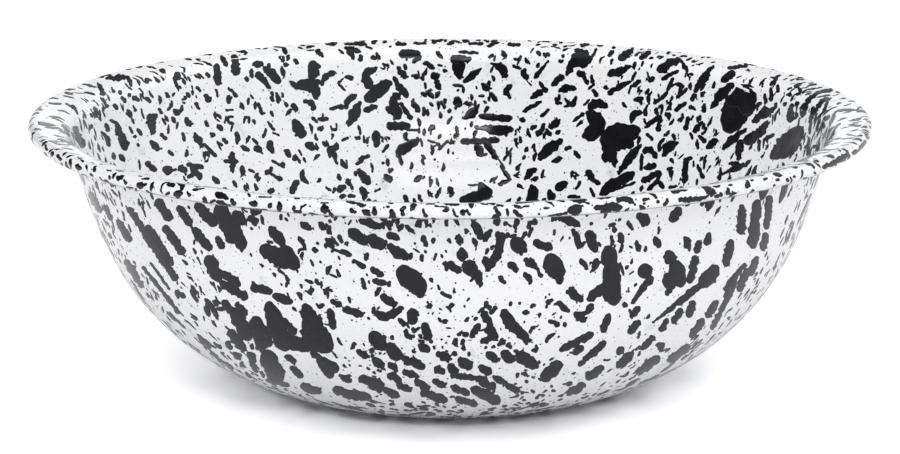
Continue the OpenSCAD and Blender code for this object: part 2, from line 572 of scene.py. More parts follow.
# The drops that were read off the photograph, as points of (x, y, width) in its pixels
OUTER_FRONT = (
    (398,267,20, 425,294,20), (348,229,11, 368,244,12), (367,236,13, 386,247,13),
    (387,244,6, 399,253,12, 412,259,5), (386,234,7, 400,239,6), (358,220,7, 382,228,8),
    (384,221,6, 393,226,5), (269,226,10, 284,246,10), (260,246,14, 292,266,18),
    (282,244,12, 297,270,14), (230,218,12, 244,250,12), (512,238,15, 524,252,15),
    (473,220,9, 482,240,8), (492,229,6, 483,242,6), (461,247,10, 463,262,10), (443,262,8, 462,272,8),
    (463,262,14, 478,275,14), (476,270,7, 481,287,7), (503,232,8, 497,255,9, 487,270,7),
    (484,256,8, 489,272,7), (547,254,20, 562,279,20), (533,241,9, 553,249,9), (524,272,7, 532,283,7),
    (530,257,5, 542,278,5), (268,301,10, 276,324,19, 288,351,18), (304,303,9, 313,326,20, 330,353,20),
    (276,338,15, 300,344,14, 333,346,14), (284,318,5, 296,335,9), (253,316,15, 266,349,19),
    (264,350,17, 281,384,19), (250,287,9, 273,292,9), (221,272,8, 241,286,8), (222,300,8, 238,318,9),
    (236,302,7, 247,316,8), (228,330,9, 246,351,10), (310,352,6, 322,360,8), (322,366,9, 333,378,9),
    (290,366,7, 303,378,8), (284,356,6, 296,362,7), (300,385,8, 322,393,8), (340,376,7, 352,382,7),
    (352,392,8, 372,399,8), (368,383,8, 383,391,9), (383,388,8, 400,397,8), (396,384,7, 412,391,8),
    (414,380,8, 430,390,9), (420,392,8, 448,401,9), (432,380,6, 446,386,7), (455,398,8, 478,405,8),
    (478,380,8, 496,389,9), (492,376,7, 508,384,8), (505,384,8, 520,392,7), (418,344,8, 430,352,8),
    (436,352,8, 450,360,9), (448,364,8, 458,374,9), (486,352,8, 498,362,9), (478,366,8, 492,374,9),
    (404,330,6, 412,340,6), (398,318,6, 406,326,6), (356,350,7, 368,358,8), (372,358,8, 384,368,9),
    (388,362,8, 398,372,8), (300,330,6, 310,342,8), (330,300,6, 342,306,6), (352,260,6, 366,268,6),
    (370,268,6, 384,276,7), (372,280,6, 388,284,6), (340,250,6, 352,256,6), (325,238,7, 334,248,8),
    (318,222,6, 326,230,6), (300,222,6, 312,230,7), (298,236,6, 304,246,6), (440,292,5, 452,298,5),
    (524,258,7, 534,268,7), (508,262,7, 518,272,7), (498,276,6, 506,284,6), (566,290,6, 578,300,8),
    (556,302,7, 570,312,7), (574,312,8, 586,322,8), (548,320,6, 560,326,6), (272,295,9, 293,303,9),
    (316,360,13, 339,371,13), (329,308,8, 334,330,8), (342,309,8, 364,315,8),
    (373,311,8, 386,317,9, 404,307,6), (380,295,9, 397,306,9), (410,309,11, 414,325,11),
    (424,322,10, 429,341,9), (370,332,15, 385,350,15), (387,343,14, 400,360,15), (402,356,8, 412,365,8),
    (410,358,9, 425,369,9), (480,323,7, 470,338,7), (482,310,8, 492,328,9), (488,325,11, 496,341,12),
    (491,338,8, 480,343,6), (502,309,9, 510,322,12, 518,333,11), (514,327,10, 528,341,11),
    (434,367,9, 445,374,9), (458,358,11, 472,369,11), (501,351,10, 514,362,11),
    (516,353,13, 537,368,13), (358,378,9, 385,385,9), (387,374,8, 402,381,9), (402,371,7, 420,377,7),
    (450,375,7, 488,380,7), (450,386,8, 470,394,8), (470,388,10, 501,402,12), (332,389,9, 362,398,9),
)
OUTER_RIGHT = (
    (609,245,16, 610,268,18), (612,258,16, 611,303,20), (608,283,10, 587,301,10),
    (612,283,13, 615,306,14), (620,262,3, 624,276,3), (645,263,14, 645,279,14),
    (653,276,9, 642,290,6, 631,304,5), (667,250,12, 673,264,14), (675,260,16, 681,288,16),
    (665,273,13, 673,290,14), (696,255,8, 689,284,8), (718,265,14, 700,287,14),
    (718,271,9, 684,298,7, 652,323,3), (742,204,9, 741,235,9), (758,199,10, 752,249,11),
    (770,195,8, 766,230,8), (732,239,9, 725,267,9), (766,232,8, 762,251,8), (746,263,6, 724,291,6),
    (732,290,6, 711,330,6), (610,313,8, 602,333,8), (594,304,7, 576,321,7), (569,287,7, 583,302,7),
    (637,213,10, 649,225,11), (681,207,9, 670,222,10), (560,217,8, 580,225,9), (575,231,7, 580,249,7),
    (588,230,10, 596,253,10), (594,333,8, 559,351,8), (606,341,7, 578,366,7), (562,362,13, 541,381,13),
    (624,347,7, 617,355,7), (640,320,7, 628,334,8), (655,336,7, 640,350,8), (634,352,8, 616,368,9),
    (604,366,8, 586,380,9), (668,318,6, 660,332,7), (682,308,7, 672,324,7), (694,300,7, 688,318,8),
    (704,318,8, 690,338,8), (584,346,7, 572,354,7), (586,384,8, 566,394,8), (640,306,6, 630,318,7),
    (700,240,7, 696,254,8), (710,232,6, 706,246,7), (684,236,7, 690,250,8), (654,236,6, 660,248,7),
    (636,240,6, 640,252,6), (620,232,6, 622,244,7), (598,258,6, 592,272,7), (580,258,6, 588,270,6),
    (736,276,8, 726,300,8), (748,268,8, 738,292,8), (758,256,7, 750,276,8), (718,300,7, 706,318,7),
    (660,356,9, 636,374,9), (690,345,8, 668,362,9),
)
OUTER_LEFT = (
    (218,203,16, 234,244,13), (233,211,11, 246,225,11), (248,216,9, 258,224,9),
    (195,203,10, 217,226,12), (156,199,9, 171,221,10), (178,205,9, 191,226,9),
    (128,207,6, 152,243,9, 177,281,7), (146,225,9, 173,266,8), (117,219,7, 131,242,8),
    (125,259,7, 143,288,7), (164,225,9, 184,255,9), (192,228,9, 212,250,10), (216,236,7, 224,249,7),
    (207,255,13, 220,282,13), (219,281,9, 248,299,9), (232,308,13, 250,341,14),
    (254,318,11, 271,347,12), (142,266,4, 180,314,5), (150,262,3, 170,290,3), (104,205,6, 112,221,6),
    (89,192,6, 101,213,7), (252,343,6, 253,350,6), (247,352,5, 252,358,8, 254,368,6, 258,373,3),
    (226,341,6, 232,350,6), (233,352,7, 241,359,7), (240,362,5, 246,368,5), (213,342,3, 222,349,4),
    (210,351,3, 222,362,4), (222,361,3, 234,369,4), (245,372,3, 252,378,3), (261,371,4, 264,378,3),
    (265,380,4, 290,386,5),
)
INNER_LEFT = (
    (101,131,3, 107,138,6, 110,147,6), (175,72,7, 180,80,8), (217,63,6, 218,86,9),
    (234,54,8, 236,76,11), (221,55,5, 227,67,5), (228,87,4, 238,97,5), (204,94,6, 211,102,7),
    (195,102,4, 200,110,4), (185,117,5, 191,127,7), (173,109,5, 180,115,6), (146,118,9, 157,118,9),
    (151,118,10, 153,135,6), (132,96,5, 140,101,6), (145,97,4, 151,103,5), (119,154,5, 125,162,6),
    (97,82,3, 101,88,5, 104,96,6), (105,78,3, 118,78,7, 126,77,5, 130,82,4, 132,87,5),
    (159,69,4, 166,73,4), (194,132,5, 198,139,8, 203,148,5), (203,143,4, 217,157,4),
    (186,164,5, 204,168,6), (192,164,8, 201,180,7), (187,178,4, 196,171,6), (162,169,9, 173,171,10),
    (145,162,6, 157,171,6), (178,166,6, 187,172,8), (232,151,5, 232,163,11), (223,161,4, 239,162,5),
    (232,163,8, 233,173,4), (233,180,4, 237,188,4), (182,132,4, 185,142,4), (217,124,5, 223,131,6),
    (225,110,3, 234,110,3), (150,140,5, 159,151,8), (160,133,4, 167,140,4), (74,126,5, 84,148,8),
    (205,120,4, 209,127,4), (196,86,4, 201,92,4), (165,92,4, 170,98,5), (158,108,4, 163,114,4),
    (121,96,4, 126,103,4), (137,128,4, 142,136,5), (168,150,4, 174,156,5), (212,176,5, 220,184,5),
    (222,138,4, 228,144,4), (186,92,4, 190,98,5), (240,102,4, 244,110,5), (206,72,4, 210,78,5),
    (109,120,3, 116,123,4, 119,132,7, 124,143,9, 126,151,6), (94,106,3, 96,112,7, 96,118,6),
    (90,113,3, 93,118,3), (113,152,4, 115,160,5), (91,124,4, 92,129,4), (111,87,3, 115,93,4),
    (119,90,4, 121,95,4), (128,93,4, 131,97,4), (106,105,4, 109,107,5), (113,104,5, 118,110,5),
    (133,105,4, 136,112,3), (129,126,3, 133,134,3), (134,135,5, 136,138,5), (137,143,4, 139,147,4),
    (47,141,2, 64,142,2), (65,103,2, 74,108,4, 78,115,2), (105,123,5, 109,132,5),
    (127,109,5, 132,118,6), (62,124,3, 70,137,4), (72,133,3, 83,148,3), (240,51,4, 248,53,4),
    (283,47,5, 286,55,6), (252,64,8, 264,64,8), (256,72,9, 271,89,4), (263,67,5, 272,74,9, 280,84,12),
    (268,63,4, 270,68,4), (244,78,5, 249,81,5), (250,94,3, 254,99,3), (258,102,4, 261,114,4),
    (260,114,3, 266,113,3), (270,96,5, 274,102,5), (282,92,3, 283,98,4), (253,119,4, 255,125,4),
    (267,121,3, 275,131,4), (272,132,3, 280,136,3), (269,140,8, 273,154,7), (254,146,6, 262,152,7),
    (240,146,5, 250,151,5), (242,165,6, 243,176,7), (271,160,3, 285,168,3), (273,167,5, 265,175,6),
    (269,173,4, 283,180,5), (248,169,3, 255,173,3), (284,102,4, 288,107,5), (292,103,6, 297,112,6),
    (293,119,11, 304,138,12), (292,160,5, 298,156,7), (303,157,3, 306,163,3), (305,143,8, 315,150,8),
    (267,192,6, 275,190,7),
)
INNER_FAR = (
    (313,60,12, 313,80,12), (296,84,10, 319,86,15), (313,79,11, 317,100,8), (289,81,3, 300,89,8),
    (303,100,5, 314,105,6), (310,99,5, 314,111,5), (306,47,3, 315,46,3), (315,50,4, 324,57,6),
    (338,49,3, 344,54,4), (293,59,4, 299,64,5), (336,72,5, 326,77,7, 321,86,4), (344,77,5, 354,78,6),
    (337,84,4, 344,78,3), (338,84,3, 346,91,3), (311,117,4, 318,123,4), (317,119,4, 329,119,6),
    (314,160,4, 320,154,4), (303,169,4, 302,177,6, 309,184,4), (299,180,6, 290,194,7),
    (360,54,6, 361,62,6), (365,46,3, 373,49,3), (370,58,6, 381,57,6), (376,52,3, 380,60,5),
    (398,54,9, 421,53,8), (418,51,5, 420,61,4), (412,63,4, 420,57,5), (378,67,5, 368,72,9, 363,77,9),
    (363,73,9, 371,89,11), (392,81,9, 379,90,14, 365,102,12), (397,66,5, 406,79,8),
    (411,75,5, 420,78,6), (418,70,3, 419,78,3), (432,72,7, 438,80,8), (436,79,6, 440,90,7),
    (421,92,5, 427,97,5), (393,76,4, 400,88,7), (397,84,7, 408,98,7), (392,97,9, 401,95,8),
    (391,96,10, 399,120,12), (385,108,8, 396,110,9), (386,126,9, 411,126,9), (406,130,3, 419,130,3),
    (400,102,4, 412,120,6), (357,94,5, 344,104,9), (329,109,4, 349,106,7),
    (361,101,5, 355,112,11, 348,127,6), (363,111,7, 378,106,5), (341,141,3, 349,137,4),
    (354,137,4, 361,139,5), (376,130,10, 376,148,6), (386,136,3, 390,140,4), (389,144,4, 382,153,4),
    (419,140,8, 402,150,11, 397,156,8), (398,152,5, 402,166,4), (381,163,3, 385,163,3),
    (384,174,6, 392,182,7), (357,169,7, 365,177,9), (361,175,9, 371,184,8), (359,188,7, 368,194,7),
    (363,189,7, 364,201,5), (374,192,3, 381,188,3), (337,192,8, 346,185,7), (347,196,4, 356,196,4),
    (339,144,7, 327,153,10), (333,151,6, 338,165,3), (317,183,3, 321,178,4), (395,44,4, 407,44,4),
    (413,43.5,3, 427,43.5,3), (468,43.5,3, 484,43.5,4), (507,44.5,4, 521,44.5,4),
)
INNER_MIDDLE = (
    (458,52,4, 479,53,4), (450,60,12, 472,59,6), (457,58,15, 460,80,9), (436,51,5, 443,59,3),
    (437,65,4, 443,66,4), (442,70,4, 448,71,4), (482,68,3, 472,75,8, 463,83,5), (452,85,4, 462,86,4),
    (481,83,7, 490,90,7), (490,92,6, 497,102,6), (478,96,3, 485,96,3), (490,63,4, 500,67,9, 507,78,7),
    (488,58,4, 494,54,4), (512,84,5, 506,91,8, 511,99,3), (521,70,6, 528,80,8), (526,80,2, 532,86,2),
    (534,79,6, 549,60,3), (536,51,4, 541,56,4), (558,62,5, 564,60,4), (530,99,5, 543,90,10),
    (539,81,3, 547,93,6), (551,86,7, 564,75,7), (566,76,5, 574,62,11, 583,49,7), (582,50,8, 590,64,9),
    (588,63,5, 597,48,4), (576,60,13, 588,66,9), (576,74,7, 586,74,8), (583,75,5, 588,85,5),
    (558,92,6, 571,86,9), (567,87,7, 577,89,4), (592,89,4, 598,97,5), (588,90,3, 595,83,3),
    (607,75,9, 619,71,10, 632,66,4), (564,98,3, 572,106,6), (577,96,4, 571,107,6),
    (563,107,3, 575,104,5), (583,106,3, 590,99,3), (522,112,5, 542,101,4), (540,117,4, 550,109,4),
    (519,119,6, 526,121,6), (530,130,4, 537,125,5), (545,123,4, 537,137,7), (548,128,6, 560,121,9),
    (555,134,5, 561,130,4), (588,110,9, 597,103,9, 608,107,7), (586,111,11, 597,123,17, 587,141,16),
    (572,122,3, 585,113,6), (576,127,3, 583,120,4), (538,160,8, 550,149,11, 563,139,6),
    (564,150,4, 572,147,6), (574,150,4, 580,159,5), (537,168,5, 530,173,8, 524,180,3),
    (517,184,4, 524,189,4), (498,185,4, 512,179,4), (460,142,7, 500,140,6), (475,144,7, 483,157,9),
    (484,140,9, 498,160,6), (497,157,2, 505,169,3), (503,161,3, 513,147,3), (511,152,3, 510,165,3),
    (500,165,3, 510,179,5), (478,116,6, 500,118,8, 513,118,8), (484,113,4, 489,106,4),
    (474,127,4, 500,130,11, 514,129,7), (463,119,4, 472,113,9, 480,104,4), (457,96,9, 458,108,10),
    (447,112,5, 452,110,5), (440,111,3, 441,119,4), (428,131,4, 435,125,6), (438,150,4, 449,140,3),
    (427,140,3, 436,143,3), (449,186,6, 452,197,7), (459,201,10, 492,193,13), (479,182,8, 489,199,15),
    (436,199,4, 441,187,4), (568,182,9, 555,190,9), (549,189,7, 553,201,9), (567,197,4, 581,197,4),
    (586,170,6, 593,179,9), (590,179,6, 601,184,5), (590,187,3, 595,198,4),
    (599,195,7, 615,184,13, 635,172,8), (612,191,3, 636,182,3),
)
INNER_RIGHT = (
    (608,57,5, 614,50,4), (618,60,8, 633,50,9), (639,59,6, 651,51,5), (656,70,8, 670,66,12),
    (665,63,11, 682,60,6), (680,59,4, 688,72,6), (679,70,4, 661,80,4), (648,82,5, 655,77,5),
    (632,87,5, 641,80,5), (608,95,6, 617,88,6, 632,81,3), (603,87,5, 609,89,4), (633,100,4, 644,98,7),
    (622,102,4, 627,108,4), (653,104,5, 662,98,4, 668,91,4), (599,103,6, 608,108,6),
    (643,112,6, 634,115,8, 631,124,3), (674,84,4, 682,86,5, 678,94,5), (676,98,5, 688,88,4),
    (714,65,4, 704,78,8, 694,93,6), (694,93,4, 692,102,5), (715,81,4, 713,89,4), (706,84,2, 700,91,3),
    (674,111,5, 687,102,5), (705,103,3, 703,113,7), (721,82,8, 735,71,8), (727,68,4, 748,66,4),
    (734,83,6, 722,94,10, 710,109,4), (752,85,22, 738,108,29, 726,133,20), (770,86,5, 778,78,3),
    (778,84,3, 777,93,4), (771,87,4, 771,102,5), (765,93,5, 765,105,4), (750,111,4, 762,102,5),
    (752,123,7, 764,113,10, 777,107,3), (792,103,6, 790,123,8), (703,121,4, 693,133,7),
    (689,116,4, 685,131,6), (669,112,5, 669,121,4), (644,128,4, 654,121,5, 662,116,6),
    (661,117,4, 657,132,7), (646,133,4, 653,141,4), (603,152,16, 616,138,27, 641,129,12),
    (601,156,12, 617,158,9), (614,150,6, 615,168,5), (642,144,4, 630,157,9, 618,175,4),
    (642,152,6, 650,150,7, 657,159,5), (642,153,5, 641,171,4), (643,168,6, 657,165,7),
    (662,157,5, 669,147,11, 679,142,5), (673,133,4, 675,141,5), (670,158,4, 674,164,4),
    (683,160,5, 693,158,4), (686,158,6, 684,184,6), (690,132,3, 693,140,4), (698,135,5, 706,143,6),
    (706,149,6, 718,139,8), (722,150,6, 733,139,8, 747,128,4), (768,120,5, 760,132,9, 743,143,12),
    (741,139,10, 738,161,5), (759,139,5, 759,152,3), (764,139,5, 775,134,4), (728,164,5, 740,164,6),
    (745,165,4, 751,160,4), (803,127,13, 786,146,21, 770,159,8), (697,164,4, 704,179,5),
    (703,183,5, 714,175,5), (721,167,3, 719,181,5), (721,175,3, 738,167,7, 748,165,4),
    (671,169,5, 671,178,5), (668,188,4, 678,186,4), (641,182,7, 661,171,7), (661,171,4, 655,185,5),
    (647,191,5, 658,180,5), (658,180,4, 664,189,5),
    (834,90,3, 820,92,4, 810,98,5, 805,108,6, 802,118,4), (832,98,3, 824,100,5, 818,106,5, 815,114,3),
    (828,100,3, 824,110,4, 820,116,3, 818,125,3, 816,132,2), (814,106,4, 812,114,5, 810,124,5),
    (862,110,2, 845,110,3, 836,112,3, 832,120,4, 829,127,2), (824,121,3, 822,129,4),
    (841,123,2, 836,127,3, 833,134,3, 830,140,3), (846,134,2, 864,138,2), (809,146,3, 807,156,4),
    (812,148,3, 819,145,4), (797,85,3, 800,92,4, 795,95,3), (787,90,3, 792,87,3),
    (802,94,3, 806,90,2, 816,88,2), (797,112,4, 795,120,3), (783,106,4, 787,102,3),
)
RIM_DABS = (
    (45,144,3, 47,151,4), (53,151,3, 52,157,3), (57,154,4, 61,161,5), (75,165,6, 82,169,6),
    (80,159,2, 84,162,3), (109,175,3, 110,180,3), (106,170,2, 112,171,2), (124,179,3, 126,185,4),
    (126,187,2, 134,188,2), (136,185,7, 144,186,8), (141,179,2, 150,178,3),
    (170,182,2, 163,184,2, 161,190,2, 163,194,2), (165,195,3, 170,192,4), (178,190,9, 179,197,10),
    (187,191,3, 190,197,5), (192,190,3, 205,188,2), (209,203,3, 216,200,3), (231,198,4, 235,206,6),
    (255,200,6, 253,207,9), (240,208,2, 254,209,2, 268,210,2), (272,203,4, 268,208,6),
    (279,201,5, 280,212,7), (258,197,2, 272,197,2), (294,205,4, 293,211,5), (293,211,3, 302,212,4),
    (307,204,2, 301,208,3, 301,213,3), (320,209,9, 328,209,10), (320,203,2, 329,203,2),
    (329,213,4, 334,216,3), (350,208,4, 354,213,7), (375,206,6, 374,210,5, 375,216,7),
    (386,206,3, 390,207,3), (406,206,5, 402,211,5, 404,216,7), (423,208,5, 424,213,4, 428,217,5),
    (442,211,4, 447,210,5, 449,207,2), (453,208,2, 455,215,3, 459,217,3),
    (462,209,6, 463,212,6, 464,216,5), (466,209,4, 468,211,3, 470,216,4), (434,206,2, 448,207,2),
    (494,206,4, 497,211,5, 501,216,4), (496,205,3, 504,206,3), (507,208,3, 508,217,3),
    (514,209,4, 516,213,5, 523,217,3), (522,207,3, 530,206,2), (543,208,3, 550,208,3),
    (538,213,3, 540,215,3), (548,216,2, 562,214,3, 568,212,5), (567,211,9, 582,210,10),
    (572,206,4, 584,206,3), (574,212,7, 576,216,7), (584,202,2, 590,204,3),
    (593,208,4, 612,207,9, 623,207,8), (600,212,3, 612,211,3), (635,203,3, 635,206,3),
    (642,200,5, 650,199,3), (644,202,3, 644,205,3), (656,202,4, 660,202,4),
    (668,198,4, 666,203,4, 663,206,3), (678,199,4, 684,200,6, 696,199,5, 705,198,5),
    (695,196,4, 697,201,4), (700,200,4, 709,195,3), (714,197,5, 720,195,6), (720,192,3, 722,197,4),
    (727,187,3, 728,191,5, 726,195,4), (728,185,2, 733,185,2), (750,180,3, 754,180,2),
    (763,180,3, 768,178,2), (773,185,4, 775,186,3), (775,180,3, 780,180,5), (786,181,5, 789,179,5),
    (794,178,4, 795,175,3), (803,178,3, 805,178,2), (814,174,3, 816,172,3),
    (822,168,4, 836,162,6, 848,154,6), (852,154,6, 860,149,4, 866,140,4),
)

# Seed of all that is random
SEED = 7
# How the rest of the splatter falls: sizes in square millimetres, with how many there are of each
SMALL_DROPS = ((0.6, 1.3, 24), (1.3, 2.8, 34), (2.8, 5.6, 36))
MIDDLE_DROPS = ((2.8, 5.6, 20), (5.6, 11, 19))
LARGE_DROPS = ((5.6, 11, 19), (11, 22, 17), (22, 44, 10), (44, 90, 6))
RIM_DROPS = ((2.2, 4, 5), (4, 12, 34), (12, 28, 24))
# Drops that are tried in each tile, the large ones first, and on the rolled rim
TRIES = ((LARGE_DROPS, 26), (MIDDLE_DROPS, 40), (SMALL_DROPS, 110))
RIM_TRIES = 1500
# Largest area that goes to the small piece, and the largest of a plain dot
SMALL = 5.6
DOT = 2.2
# Windows of the photograph, as left, top, right and bottom, where every large drop was read off it
OUTER_READ = ((225, 205, 600, 402), (600, 205, 775, 345), (110, 190, 225, 290))
INNER_READ = ((70, 45, 800, 200),)
# Window where nearly every drop was read, and the share of random drops that is left out there
BARE = ((398, 144, 494, 178),)
BARE_SHARE = 0.75
# Sectors that the drops are shared out over, so that no mesh passes 200,000 triangles
WALL_SECTORS = 5
RIM_SECTORS = 2
# Share of the small drops that has to run into another one, and how much of it lies there
JOINED = 0.5
JOINED_COVER = (0.15, 0.6)
# Room in millimetres round the other small drops, and the most of it that may be covered
APART = 0.3
APART_COVER = 0.01
# The most of a larger drop that may lie on others, one of these by chance, and of a dab on the rim
LARGE_COVER = (0.03, 0.08, 0.2)
RIM_APART_COVER = 0.05
# Length from before the flare to the brim, and the shares left out there, more towards both ends
BRIM_AFTER = 7.0
BRIM_BARE = 0.2
BRIM_BARE_SMALL = 0.4
BRIM_BARE_ENDS = 0.45
# Uneven spray: size in millimetres of its thick and thin places, and the share that falls with its swing
THICK_SIZE = 26
THICK = 0.8
THICK_SWING = 0.9
# Share of the black outside that the larger drops may take up, so that small ones fill the rest
OUTER_COARSE_SHARE = 0.8
# How much larger the drops inside are
INNER_GROWTH = 1.5
# Black outside: its share, less at the sides and the right edge, more low on the wall in front
OUTER_COVER = 0.42
SIDE_COVER = 0.1
RIGHT_EDGE_COVER = 0.07
LOW_WALL_COVER = 0.14
# Where these are on the chart: reach of the side, start and width of the edge, and for the low wall
# its middle and reach, along the cut and across, in millimetres
SIDE = 100
RIGHT_EDGE = (70, 30)
LOW_WALL = (90, 25)
LOW_WALL_FRONT = (-10, 60)
# Black inside, with how much more there is at the right end, and on the rolled rim
INNER_COVER = 0.345
INNER_RIGHT_COVER = 0.14
RIM_COVER = 0.4
# Length from the middle within which drops lie in all directions, the share that does so elsewhere,
# and how much the others differ from the direction of the cut; then the same for the rim's dabs
MIDDLE_REACH = 55.0
LOOSE = 0.22
LEAN = math.radians(24)
RIM_LEAN = math.radians(60)
RIM_LEAN_SPREAD = math.radians(40)
# Shape of a drop: length by width, share of that box that it fills, widths of its tips and its bow
ASPECT = (1.25, 2.9)
FILLED = 0.86
TAPER = (0.45, 1.0)
OTHER_TAPER = (0.5, 1.0)
BOW = 0.1
# The same for a small drop, which has one narrow tip and no bow
SMALL_ASPECT = (1.0, 2.5)
SMALL_FILLED = 0.785
SMALL_TAPER = (0.6, 1)
# Drops that ran together: least area, share that stays whole, parts, and how these overlap and turn
WHOLE_BELOW = 9
WHOLE = 0.35
PARTS = (2, 2, 3, 3, 4)
PART_GROWTH = 1.15
PART_SIZE = (0.6, 1.4)
PART_STEP = (0.5, 0.8)
PART_TURN = 0.7
# Knobs on the edge of a wide drop: least width, number, place, direction, reach and widths
KNOBS_FROM = 2.4
KNOB_COUNT = (2, 3, 4)
KNOB_PLACE = (0.12, 0.88)
KNOB_TURN = (0.3, 1.3)
KNOB_REACH = (0.4, 0.7)
KNOB_WIDTH = (0.35, 0.6)
KNOB_LEAST = 0.9
KNOB_TIP = 0.75
# The chart in millimetres: its cells, its tiles and its reach; and the rim's sectors in degrees
CELL = 0.5
TILE = 24.0
CHART_REACH = 245.0
SECTOR = 5.0
# Distance between the places at which a stroke marks the chart, in pixels and in millimetres
READ_MARKS = 1.0
MARKS = 0.5
# Reach over which the direction of a stroke is taken there and for a knob, in its own unit
NEAR = 0.1
# Pixels of the photograph for a millimetre of the near wall, and how much wider a read drop is drawn
PIXELS_PER_MM = 2.8
READ_WIDTH = 1.05
# Distance between cuts of a stroke in millimetres; pairs are for the wall and from the flare on
COARSE_STEP = 1.4
FLARE_STEP = 0.8
RIM_STEP = 0.42
LARGE_STEPS = (1.5, 0.8)
SMALL_STEPS = (1.2, 0.7)
# The random drops start this far from the axis, and end this far before the end of each face
AXIS_MARGIN = 1.0
OUTER_MARGIN = 0.3
INNER_MARGIN = 0.5
RIM_MARGIN = 0.3


class Ground:
    """Keeps which part of a face is covered, on its flat chart."""

    def __init__(self, surface, cover, coarse_share=1.0, growth=1.0):
        self.surface = surface
        self.cover = cover
        self.coarse_share = coarse_share
        self.growth = growth
        self.side = int(2 * CHART_REACH / CELL)
        self.taken = bytearray(self.side * self.side)
        self.tiles = {}

    def cell(self, q):
        return int((q.y + CHART_REACH) / CELL) * self.side + int((q.x + CHART_REACH) / CELL)

    def tile(self, q):
        return math.floor(q.x / TILE), math.floor(q.y / TILE)

    def room(self, q):
        """Area of the tile around a place."""
        return TILE * TILE

    def share(self, cells):
        """Share of these cells that a drop already covers."""
        return sum(self.taken[c] for c in cells) / max(1, len(cells))

    def mark(self, cells, q):
        """Covers these cells, and counts them to the tile around a place."""
        new = [c for c in cells if not self.taken[c]]
        for c in new:
            self.taken[c] = 1
        key = self.tile(q)
        self.tiles[key] = self.tiles.get(key, 0) + len(new) * CELL * CELL

    def full(self, q, share=1.0):
        """Says whether the tile around a place has this share of its black."""
        return self.tiles.get(self.tile(q), 0) > share * self.cover(q) * self.room(q)


class Ring(Ground):
    """The same for the rolled rim, kept by sector."""

    def tile(self, q):
        return math.floor(math.degrees(math.atan2(q.y, q.x)) / SECTOR)

    def room(self, q):
        return math.radians(SECTOR) * q.length * (RIM_END - RIM_START)


def footprint(line, step, chart, ground, margin=0.0):
    """Cells of the chart that a stroke covers."""
    cells = set()
    count = max(2, math.ceil(line.length / step))
    for i in range(count + 1):
        mark = line.length * i / count
        here = line.at(mark)
        along = line.along(mark, NEAR)
        half = line.half_width(mark) + margin
        across = max(1, math.ceil(2 * half / step))
        for k in range(across + 1):
            reach = half * (2 * k / across - 1)
            q = chart(here.x - along.y * reach, here.y + along.x * reach)
            if q is not None and max(abs(q.x), abs(q.y)) < CHART_REACH:
                cells.add(ground.cell(q))
    return cells


def seen_in(point, normal, windows):
    """Says whether a point shows in one of these windows of the photograph."""
    sight = point - EYE
    if normal.dot(sight) > 0:
        return False
    depth = sight.y * math.cos(TILT) - sight.z * math.sin(TILT)
    height = sight.y * math.sin(TILT) + sight.z * math.cos(TILT)
    x = PHOTO_WIDTH / 2 + FOCAL_PIXELS * sight.x / depth
    y = PHOTO_HEIGHT / 2 - FOCAL_PIXELS * height / depth
    return any(left < x < right and top < y < bottom for left, top, right, bottom in windows)


class Local:
    """Flat patch of a face: u runs along the cut, v round the bowl, in millimetres."""

    def __init__(self, surface, q, reach):
        self.surface = surface
        self.q = q
        self.reach = reach
        radius = surface.at(q.length)[0].x
        self.radial = q.normalized()
        self.round = Vector((-self.radial.y, self.radial.x)) * (q.length / max(radius, AXIS_MARGIN))

    def chart(self, u, v):
        return self.q + self.radial * u + self.round * v

    def place(self, u, v, rise):
        q = self.chart(u, v)
        if q.length > self.reach:
            return None
        return self.surface.place(q.length, math.atan2(q.y, q.x), rise)


def pick_size(sizes, draw):
    """Area drawn from a table of ranges."""
    mark = draw.uniform(0, sum(row[2] for row in sizes))
    for low, high, count in sizes:
        mark -= count
        if mark <= 0:
            break
    return low * (high / low) ** draw.random()


def lean(q, draw):
    """Direction of a drop: on the wall most run along the cut, the others lie anyhow."""
    if q.length < MIDDLE_REACH or draw.random() < LOOSE:
        return draw.uniform(0, math.pi)
    return draw.gauss(0, LEAN)


def drop_shape(area, angle, draw):
    """Stroke of one drop about its own middle, as its points' numbers."""
    aspect = draw.uniform(*ASPECT)
    width = math.sqrt(area / aspect / FILLED)
    length = width * aspect
    c, s = math.cos(angle), math.sin(angle)
    widths = [width * draw.uniform(*TAPER), width, width * draw.uniform(*OTHER_TAPER)]
    if draw.random() < 0.5:
        widths.reverse()
    bow = draw.gauss(0, BOW) * length
    numbers = []
    for along, across, size in zip((-length / 2, 0, length / 2), (0, bow, 0), widths):
        numbers += [along * c - across * s, along * s + across * c, size]
    return numbers


def figure(area, q, draw):
    """One drop, or for a large one two to four that ran into each other."""
    angle = lean(q, draw)
    if area < WHOLE_BELOW or draw.random() < WHOLE:
        return [drop_shape(area, angle, draw)]
    parts = draw.choice(PARTS)
    shapes = []
    u = v = 0.0
    for _ in range(parts):
        part = area * PART_GROWTH / parts * draw.uniform(*PART_SIZE)
        numbers = drop_shape(part, angle, draw)
        shapes.append([n + (u, v, 0)[i % 3] for i, n in enumerate(numbers)])
        step = math.sqrt(part) * draw.uniform(*PART_STEP)
        way = draw.uniform(0, 2 * math.pi)
        u += step * math.cos(way)
        v += step * math.sin(way)
        angle += draw.gauss(0, PART_TURN)
    return shapes


